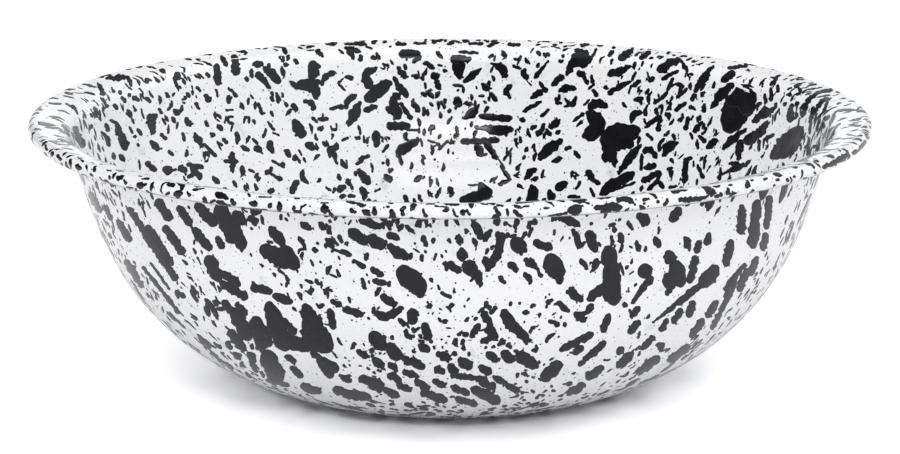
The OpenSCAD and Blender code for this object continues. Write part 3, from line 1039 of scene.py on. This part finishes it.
def knobs(numbers, unit, draw):
    """Short strokes that break up the edge of a wide drop."""
    line = Stroke(numbers)
    if line.width < KNOBS_FROM * unit:
        return []
    shapes = []
    for _ in range(draw.choice(KNOB_COUNT)):
        mark = line.length * draw.uniform(*KNOB_PLACE)
        here, ahead = line.at(mark), line.at(min(line.length, mark + NEAR))
        way = math.atan2(ahead.y - here.y, ahead.x - here.x)
        way += draw.choice((-1, 1)) * draw.uniform(*KNOB_TURN)
        reach = here.z * draw.uniform(*KNOB_REACH)
        size = max(KNOB_LEAST * unit, here.z * draw.uniform(*KNOB_WIDTH))
        tip = here.xy + Vector((math.cos(way), math.sin(way))) * reach
        shapes.append((here.x, here.y, size, tip.x, tip.y, size * KNOB_TIP))
    return shapes


def stretch(sight, x, y):
    """Millimetres of the face for one pixel, where the face turns away most."""
    here, right, down = sight.chart(x, y), sight.chart(x + 1, y), sight.chart(x, y + 1)
    if here is None or right is None or down is None:
        return 1.0
    return max((right - here).length, (down - here).length, 1 / PIXELS_PER_MM)


def place_read(drops, ground, sight, strokes, fine_from, fine_step, draw):
    """Lays the strokes that were read off the photograph."""
    for numbers in strokes:
        numbers = [n * READ_WIDTH if i % 3 == 2 else n for i, n in enumerate(numbers)]
        line = Stroke(numbers)
        middle = line.at(line.length / 2)
        q = sight.chart(middle.x, middle.y)
        if q is None:
            continue
        step = fine_step if q.length > fine_from else COARSE_STEP
        step /= PIXELS_PER_MM * stretch(sight, middle.x, middle.y)
        for shape in [numbers] + knobs(numbers, PIXELS_PER_MM, draw):
            if drops.stroke(sight.place, shape, PIXELS_PER_MM, step, draw):
                ground.mark(footprint(Stroke(shape), READ_MARKS, sight.chart, ground), q)


def add_small(small, ground, q, area, reach, fine, draw):
    """Adds one small random drop at a place of the chart, if there is room for it."""
    patch = Local(ground.surface, q, reach)
    length = math.sqrt(area * draw.uniform(*SMALL_ASPECT) / SMALL_FILLED)
    width = area / SMALL_FILLED / length
    angle = lean(q, draw)
    c, s = math.cos(angle) * length / 2, math.sin(angle) * length / 2
    numbers = (-c, -s, width * draw.uniform(*SMALL_TAPER), c, s, width)
    cells = footprint(Stroke(numbers), MARKS, patch.chart, ground)
    if draw.random() < JOINED:
        if not JOINED_COVER[0] < ground.share(cells) < JOINED_COVER[1]:
            return
    elif ground.share(footprint(Stroke(numbers), MARKS, patch.chart, ground, APART)) > APART_COVER:
        return
    if area > DOT or fine:
        done = small.stroke(patch.place, numbers, 1.0, SMALL_STEPS[fine], draw)
    else:
        done = small.dot(patch.place, length, width, angle, draw)
    if done:
        ground.mark(cells, q)


def add_large(large, ground, q, area, reach, fine, draw):
    """Adds one larger random drop with its knobs, if there is room for it."""
    patch = Local(ground.surface, q, reach)
    shapes = figure(area, q, draw)
    cells = set()
    for numbers in shapes:
        cells |= footprint(Stroke(numbers), MARKS, patch.chart, ground)
    if ground.share(cells) > draw.choice(LARGE_COVER):
        return
    for numbers in list(shapes):
        shapes += knobs(numbers, 1.0, draw)
    for numbers in shapes:
        large.stroke(patch.place, numbers, 1.0, LARGE_STEPS[fine], draw)
    ground.mark(cells, q)


def scatter(large, small, ground, reach, windows, fine_from, draw):
    """Fills each tile of a face up to its share of black, the large drops first."""
    side = math.ceil(reach / TILE)
    tiles = [(i, j) for i in range(-side, side) for j in range(-side, side)]
    for sizes, i, j in [(row, *tile) for row, tries in TRIES for tile in tiles for _ in range(tries)]:
        q = Vector(((i + draw.random()) * TILE, (j + draw.random()) * TILE))
        area = pick_size(sizes, draw) * ground.growth
        share, bare = ground.coarse_share, BRIM_BARE
        if sizes is SMALL_DROPS:
            share, bare = 1.0, BRIM_BARE_SMALL
        if not AXIS_MARGIN < q.length < reach or ground.full(q, share):
            continue
        bare += BRIM_BARE_ENDS * abs(q.x) / q.length
        if q.length > fine_from + BRIM_AFTER and draw.random() < bare:
            continue
        thick = noise.noise(Vector((q.x, q.y, reach)) / THICK_SIZE)
        if draw.random() > THICK + THICK_SWING * thick:
            continue
        phi = math.atan2(q.y, q.x)
        facing = turned(ground.surface.at(q.length)[1], phi)
        here = ground.surface.place(q.length, phi, 0) / MM
        if sizes is LARGE_DROPS and seen_in(here, facing, windows):
            continue
        if seen_in(here, facing, BARE) and draw.random() < BARE_SHARE:
            continue
        if area < SMALL:
            add_small(small, ground, q, area, reach, q.length > fine_from, draw)
        else:
            add_large(large, ground, q, area, reach, q.length > fine_from, draw)


def scatter_rim(drops, ground, start, end, draw):
    """Lays dabs round the rolled rim, between the ones already there."""
    for _ in range(RIM_TRIES):
        s = draw.uniform(start, end)
        q = chart_point(s, draw.uniform(-math.pi, math.pi))
        if ground.full(q):
            continue
        patch = Local(ground.surface, q, end)
        area = pick_size(RIM_DROPS, draw)
        numbers = drop_shape(area, draw.gauss(RIM_LEAN, RIM_LEAN_SPREAD), draw)
        cells = footprint(Stroke(numbers), MARKS, patch.chart, ground)
        if ground.share(cells) > RIM_APART_COVER:
            continue
        for shape in [numbers] + knobs(numbers, 1.0, draw):
            drops.stroke(patch.place, shape, 1.0, RIM_STEP, draw)
        ground.mark(cells, q)


def hill(value, middle, reach):
    """Falls from 1 at the middle to 0 at the reach."""
    return max(0.0, 1 - abs(value - middle) / reach)


def outer_cover(q):
    """Share of black outside at a place of the chart."""
    low_wall = hill(q.length, *LOW_WALL) * hill(q.x, *LOW_WALL_FRONT)
    start, width = RIGHT_EDGE
    right_edge = min(1.0, max(0.0, (q.x - start) / width))
    share = OUTER_COVER - SIDE_COVER * min(1.0, abs(q.x) / SIDE) - RIGHT_EDGE_COVER * right_edge
    return share + LOW_WALL_COVER * low_wall


def inner_cover(q):
    """Share of black inside at a place of the chart."""
    return INNER_COVER + INNER_RIGHT_COVER * q.x / CHART_REACH


# Materials
WHITE = (0.905, 0.905, 0.915)
WHITE_COOL = (0.875, 0.88, 0.9)
# Painted light: the inside's white is made lighter than the outside's, to make up for the shade inside the
# bowl
INNER_WHITE = (0.95, 0.95, 0.955)
INNER_COOL = (0.92, 0.925, 0.945)
# Painted shade: the rolled rim's white is made darker, to tone down the light that falls on its top
RIM_WHITE = (0.84, 0.84, 0.845)
RIM_COOL = (0.815, 0.82, 0.835)
BLUE_GREY = (0.6, 0.64, 0.72)
BLACK = (0.004, 0.004, 0.006)
BLACK_WORN = (0.01, 0.01, 0.013)
GROUND = (0.012, 0.014, 0.026)
GROUND_PALE = (0.035, 0.04, 0.065)
STEEL_DARK = (0.36, 0.37, 0.39)
STEEL_PALE = (0.5, 0.51, 0.53)
# Roughness from the smoothest places of each surface to the roughest
WHITE_ROUGHNESS = (0.09, 0.16)
BLACK_ROUGHNESS = (0.07, 0.14)
GROUND_ROUGHNESS = (0.22, 0.38)
STEEL_ROUGHNESS = (0.3, 0.5)
# Range that most of a noise lies in, and a narrower one for clouds of colour
NOISE_RANGE = (0.3, 0.7)
CLOUD_RANGE = (0.35, 0.65)
# Thin places in the white: a range of noise, and the share of blue-grey from its low to its high end
THIN_PLACES = (0.62, 0.73, 0, 0.55)
# How much finer the rolling lines of the steel are than long, by axis
ROLLING = (1, 12, 1)
# Painted shade: a dark ring on the underside of the rolled rim: its colour, and in millimetres along the
# roll where it starts, is full, fades and ends
RIM_UNDERSIDE_SHADE = (0.16, 0.165, 0.18)
RIM_UNDERSIDE_SHADE_BAND = (6.6, 7.8, 9.0, 10.2)
# How strong the painted shade is: a range of noise, and the strength from its low to its high end
RIM_UNDERSIDE_SHADE_PATCHES = (0.35, 0.6, 0.45, 1)
# Specks in the white, in millimetres: the spacing and largest radius of each spray, and their wobble
SPECKS = ((3.4, 0.5), (2.4, 0.32))
WOBBLE_SIZE = 0.9
WOBBLE = (0.5 * MM, 0.35 * MM, 0)
# Higher gives fewer large specks
SPECK_POWER = 4.0
# Edge of a speck from outside to inside, as shares of the spacing
SPECK_EDGE = (-0.02, 0.03)
# Where each white takes its patterns from, so that the outside differs, and how far that is by axis
OUTER_SEED = 0.31
INNER_SEED = 1.74
SEED_AXES = (1, 0.7, 1.3)
# How strongly the glazes bend light
WHITE_IOR = 1.5
BLACK_IOR = 1.42


class Nodes:
    """Builds a node tree. add gives all outputs of a new node, and the others give one."""

    def __init__(self, owner):
        owner.use_nodes = True
        self.tree = owner.node_tree

    def feed(self, node, inputs):
        """Links each named input of a node to a socket, or sets it to a number, vector or colour."""
        for name, value in inputs.items():
            socket = node.inputs[name]
            if isinstance(value, bpy.types.NodeSocket):
                self.tree.links.new(value, socket)
            else:
                socket.default_value = (*value, 1) if socket.type == "RGBA" else value

    def add(self, kind, inputs, **settings):
        node = self.tree.nodes.new("ShaderNode" + kind)
        for name, value in settings.items():
            setattr(node, name, value)
        self.feed(node, inputs)
        return node.outputs

    def noise(self, vector, size, detail=2.0):
        """Noise whose grains are about a size in millimetres."""
        return self.add("TexNoise", {"Vector": vector, "Scale": 1000 / size, "Detail": detail})["Fac"]

    def range(self, value, low, high, to_low=0, to_high=1):
        """Maps a value to a range, and holds it there."""
        limits = {"From Min": low, "From Max": high, "To Min": to_low, "To Max": to_high}
        return self.add("MapRange", {"Value": value, **limits})["Result"]

    def mix(self, factor, first, second):
        """Mixes two colours."""
        inputs = {"Factor": factor, "A": first, "B": second}
        return self.add("Mix", inputs, data_type="RGBA")["Result"]

    def math(self, operation, first, second):
        return self.add("Math", {0: first, 1: second}, operation=operation)[0]

    def bump(self, height, depth, below=None):
        """Bump of a depth in millimetres, laid over another one if given."""
        inputs = {"Strength": 1, "Distance": depth * MM, "Height": height}
        return self.add("Bump", inputs if below is None else {**inputs, "Normal": below})["Normal"]

    def position(self):
        """Place on the object."""
        return self.add("TexCoord", {})["Object"]


def new_material(name):
    material = bpy.data.materials.new(name)
    nodes = Nodes(material)
    return material, nodes, nodes.tree.nodes["Principled BSDF"]


def speckled(nodes, vector, spacing, largest):
    """Small drops: one in each cell of a spacing, up to a radius, both in millimetres."""
    wobble = {0: nodes.noise(vector, WOBBLE_SIZE, 1), 1: WOBBLE, 2: vector}
    moved = nodes.add("VectorMath", wobble, operation="MULTIPLY_ADD")["Vector"]
    cells = nodes.add("TexVoronoi", {"Vector": moved, "Scale": 1000 / spacing}, voronoi_dimensions="2D")
    lot = nodes.add("SeparateColor", {"Color": cells["Color"]})["Red"]
    radius = nodes.math("MULTIPLY", nodes.math("POWER", lot, SPECK_POWER), largest / spacing)
    return nodes.range(nodes.math("SUBTRACT", radius, cells["Distance"]), *SPECK_EDGE)


def painted_rim_shade(nodes, chart, line):
    """Share of painted shade in a patchy ring under the rolled rim: its two edges and its middle, by
    length.
    """
    length = nodes.add("VectorMath", {0: chart}, operation="LENGTH")["Value"]
    start, full, fade, end = (s * MM for s in line)
    strip = nodes.math("MULTIPLY", nodes.range(length, start, full), nodes.range(length, fade, end, 1, 0))
    patchy = nodes.range(nodes.noise(chart, size=12), *RIM_UNDERSIDE_SHADE_PATCHES)
    return nodes.math("MULTIPLY", strip, patchy)


def white_enamel(name, seed, white, cool, underside_shade=None):
    """Glossy white glaze, faintly blue where it is thin, with a fine spray of black specks."""
    material, nodes, shader = new_material(name)
    chart = nodes.add("Attribute", {}, attribute_name="chart")["Vector"]
    shift = {0: chart, 1: tuple(seed * share for share in SEED_AXES)}
    vector = nodes.add("VectorMath", shift, operation="ADD")["Vector"]
    clouds = nodes.range(nodes.noise(vector, size=40, detail=3), *CLOUD_RANGE)
    thin = nodes.range(nodes.noise(vector, size=9, detail=4), *THIN_PLACES)
    colour = nodes.mix(thin, nodes.mix(clouds, white, cool), BLUE_GREY)
    if underside_shade is not None:
        # Painted shade: the underside of the rolled rim is darkened in a patchy ring
        colour = nodes.mix(painted_rim_shade(nodes, chart, underside_shade), colour, RIM_UNDERSIDE_SHADE)
    black = nodes.math("MAXIMUM", *(speckled(nodes, vector, *spray) for spray in SPECKS))
    waves = nodes.bump(nodes.noise(vector, size=18, detail=1), depth=0.05)
    peel = nodes.bump(nodes.noise(vector, size=2.2), depth=0.004, below=waves)
    nodes.feed(shader, {
        "Base Color": nodes.mix(black, colour, BLACK),
        "Roughness": nodes.range(nodes.noise(vector, size=14, detail=3), *NOISE_RANGE, *WHITE_ROUGHNESS),
        "Normal": nodes.bump(black, depth=0.02, below=peel),
        "IOR": WHITE_IOR,
    })
    return material


def black_glaze():
    """Glossy black of the drops, a little uneven in tone and level."""
    material, nodes, shader = new_material("black_glaze")
    vector = nodes.position()
    clouds = nodes.noise(vector, size=6, detail=3)
    nodes.feed(shader, {
        "Base Color": nodes.mix(nodes.range(clouds, *NOISE_RANGE), BLACK, BLACK_WORN),
        "Roughness": nodes.range(clouds, *NOISE_RANGE, *BLACK_ROUGHNESS),
        "Normal": nodes.bump(nodes.noise(vector, size=3), depth=0.015),
        "IOR": BLACK_IOR,
    })
    return material


def ground_glaze():
    """Dark blue-black ground coat, seen only in the seam and where the white ends."""
    material, nodes, shader = new_material("ground_glaze")
    mottle = nodes.noise(nodes.position(), size=1.5, detail=4)
    nodes.feed(shader, {
        "Base Color": nodes.mix(nodes.range(mottle, *CLOUD_RANGE), GROUND, GROUND_PALE),
        "Roughness": nodes.range(mottle, *NOISE_RANGE, *GROUND_ROUGHNESS),
        "Normal": nodes.bump(mottle, depth=0.02),
    })
    return material


def pickled_steel():
    """Grey sheet steel with fine rolling lines, under the coats."""
    material, nodes, shader = new_material("pickled_steel")
    drawn_out = nodes.add("Mapping", {"Vector": nodes.position(), "Scale": ROLLING})["Vector"]
    grain = nodes.noise(drawn_out, size=4, detail=5)
    nodes.feed(shader, {
        "Base Color": nodes.mix(grain, STEEL_DARK, STEEL_PALE),
        "Roughness": nodes.range(grain, *NOISE_RANGE, *STEEL_ROUGHNESS),
        "Normal": nodes.bump(grain, depth=0.01),
        "Metallic": 1,
    })
    return material


# Camera, light and stage
# Lamps that stand for the windows: elevation in degrees, width and height in metres, power in watts
LAMPS = {
    "window": (50, 1.3, 0.35, 4),
    "upper_pane": (39, 0.9, 0.04, 1.7),
    "lower_pane": (31, 0.9, 0.04, 1.7),
}
# How far the lamps stand from the bowl's foot, and the place they face, in metres
LAMP_DISTANCE = 2.0
LAMP_TARGET = Vector((0, 0, 0.05))
# Strength of the tent at the left and right, and the colours of the room that shows in the gloss
TENT = (0.92, 1.04)
ROOM_DARK = (0.12, 0.12, 0.13)
ROOM_BRIGHT = (0.95, 0.98, 1.0)
# Where the room turns bright, as parts of a direction: to the right, at the back, and overhead,
# where it ends a little darker
RIGHT_SIDE = (0.05, 0.5)
BACK_WALL = (0.93, 0.975)
CEILING = (0.8, 0.95, 0, 0.8)
# Floor: its side in metres, its level in millimetres and its two colours
FLOOR_SIZE = 8.0
FLOOR_DROP = -0.05
FLOOR_COLOUR = (0.91, 0.91, 0.925)
FLOOR_COLOUR_WARM = (0.92, 0.92, 0.925)
# What the camera sees of the floor: its colour in the open, then a painted contact shadow where the bowl
# stands: its colour there, how near the bowl that is in millimetres, and the share of open sky there
FLOOR_SHOWN = (1.6, 1.6, 1.62)
FLOOR_CONTACT_SHADOW = (0.92, 0.92, 0.93)
CONTACT = 3.6
CONTACT_SKY = (0.25, 0.85)


def add_camera():
    camera = bpy.data.objects.new("camera", bpy.data.cameras.new("camera"))
    bpy.context.scene.collection.objects.link(camera)
    camera.location = CAMERA_PLACE
    camera.rotation_euler = (math.radians(90 - CAMERA_ELEVATION), 0, 0)
    camera.data.sensor_width = SENSOR
    camera.data.lens = SENSOR * FOCAL_PIXELS / PHOTO_WIDTH
    camera.data.clip_start = CLIP_START
    bpy.context.scene.camera = camera


def add_lamps():
    """Soft oblong lamps in front of the bowl."""
    for name, (elevation, width, height, power) in LAMPS.items():
        data = bpy.data.lights.new(name, "AREA")
        data.shape = "RECTANGLE"
        data.size, data.size_y = width, height
        data.energy = power
        lamp = bpy.data.objects.new(name, data)
        bpy.context.scene.collection.objects.link(lamp)
        e = math.radians(elevation)
        lamp.location = Vector((0, -math.cos(e), math.sin(e))) * LAMP_DISTANCE
        lamp.rotation_euler = (LAMP_TARGET - lamp.location).to_track_quat("-Z", "Y").to_euler()


def light_world():
    """White tent for the light; its gloss shows a room that is dark to the left and behind the camera."""
    world = bpy.data.worlds.new("tent")
    bpy.context.scene.world = world
    nodes = Nodes(world)
    shown = nodes.tree.nodes["Background"]
    nodes.feed(shown, {"Color": (1, 1, 1), "Strength": 1})
    axes = nodes.add("SeparateXYZ", {"Vector": nodes.add("TexCoord", {})["Generated"]})
    strength = nodes.range(axes["X"], -1, 1, *TENT)
    tent = nodes.add("Background", {"Color": (1, 1, 1), "Strength": strength})[0]
    walls = nodes.math("MAXIMUM", nodes.range(axes["X"], *RIGHT_SIDE), nodes.range(axes["Y"], *BACK_WALL))
    bright = nodes.math("MAXIMUM", walls, nodes.range(axes["Z"], *CEILING))
    room = nodes.add("Background", {"Color": nodes.mix(bright, ROOM_DARK, ROOM_BRIGHT), "Strength": 1})[0]
    path = nodes.add("LightPath", {})
    light = nodes.add("MixShader", {0: path["Is Glossy Ray"], 1: tent, 2: room})[0]
    seen = nodes.add("MixShader", {0: path["Is Camera Ray"], 1: light, 2: shown.outputs[0]})[0]
    nodes.feed(nodes.tree.nodes["World Output"], {"Surface": seen})


def add_floor():
    """White table top under the bowl, which keeps its shadow and has a painted contact shadow where the
    bowl stands.
    """
    material, nodes, shader = new_material("table_top")
    mottle = nodes.noise(nodes.position(), size=60, detail=3)
    paint = nodes.mix(mottle, FLOOR_COLOUR, FLOOR_COLOUR_WARM)
    # Painted contact shadow: the floor that the camera sees is darkened where the bowl shuts out the sky
    # close by
    sky = nodes.range(nodes.add("AmbientOcclusion", {"Distance": CONTACT * MM})["AO"], *CONTACT_SKY)
    shown = nodes.mix(sky, FLOOR_CONTACT_SHADOW, FLOOR_SHOWN)
    colour = nodes.mix(nodes.add("LightPath", {})["Is Camera Ray"], paint, shown)
    matt = nodes.add("BsdfDiffuse", {"Color": colour})["BSDF"]
    nodes.feed(nodes.tree.nodes["Material Output"], {"Surface": matt})
    nodes.tree.nodes.remove(shader)
    half, level = FLOOR_SIZE / 2, FLOOR_DROP * MM
    corners = [(-half, -half, level), (half, -half, level), (half, half, level), (-half, half, level)]
    new_object("floor", corners, [(0, 1, 2, 3)], material)


def build_bowl():
    """Coats, and the drops that lie on them."""
    outer = white_enamel("outer_white", OUTER_SEED, WHITE, WHITE_COOL)
    # The inside's white carries painted light, lighter to make up for the shade inside the bowl
    inner = white_enamel("inner_white", INNER_SEED, INNER_WHITE, INNER_COOL)
    # Where the painted shade under the rolled rim lies, as lengths along the chart
    line = [RIM_START + s for s in RIM_UNDERSIDE_SHADE_BAND]
    # The rim's white carries painted shade, darker to tone down the light on top of the rolled rim
    rim = white_enamel("rim_white", INNER_SEED, RIM_WHITE, RIM_COOL, line)
    coat("outer_coat", "outer_enamel", OUTER_FACE, OUTER_BACK, 0.0, outer)
    coat("inner_coat", "inner_enamel", INNER_FACE, INNER_BACK, 0.0, inner)
    coat("rim_coat", "rim_enamel", RIM_FACE, RIM_BACK, RIM_START, rim)
    steel, ground_coat = pickled_steel(), ground_glaze()
    for node in ("steel_bowl", "inner_ground_coat", "outer_ground_coat"):
        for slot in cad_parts[node].material_slots:
            slot.material = steel if node == "steel_bowl" else ground_coat

    glaze = black_glaze()
    draw = random.Random(SEED)
    outer_strokes = OUTER_FRONT + OUTER_RIGHT + OUTER_LEFT
    inner_strokes = INNER_LEFT + INNER_FAR + INNER_MIDDLE + INNER_RIGHT
    outer_ground = Ground(OUTSIDE, outer_cover, coarse_share=OUTER_COARSE_SHARE)
    inner_ground = Ground(INSIDE, inner_cover, growth=INNER_GROWTH)
    for side, ground, rows, strokes, windows, flare, reach in (
        ("outer", outer_ground, OUTER_FACE, outer_strokes, OUTER_READ, OUTER_FLARE,
         OUTSIDE.length - OUTER_MARGIN),
        ("inner", inner_ground, INNER_FACE, inner_strokes, INNER_READ, INNER_FLARE,
         RIM_START - INNER_MARGIN),
    ):
        large, small = Drops(WALL_SECTORS), Drops()
        sight = FromPhoto(ground.surface, rows)
        place_read(large, ground, sight, strokes, flare, FLARE_STEP, draw)
        scatter(large, small, ground, reach, windows, flare, draw)
        splatter(large, side + "_splatter", glaze)
        splatter(small, side + "_small_splatter", glaze)

    dabs = Drops(RIM_SECTORS)
    ground = Ring(INSIDE, lambda q: RIM_COVER)
    sight = FromPhoto(INSIDE, INNER_FACE[-1:] + RIM_FACE[1:], len(INNER_FACE) - 1)
    place_read(dabs, ground, sight, RIM_DABS, 0.0, RIM_STEP, draw)
    scatter_rim(dabs, ground, RIM_START, RIM_END - RIM_MARGIN, draw)
    splatter(dabs, "rim_splatter", glaze)


add_camera()
light_world()
add_lamps()
add_floor()
build_bowl()
bpy.context.scene.view_settings.view_transform = "Standard"
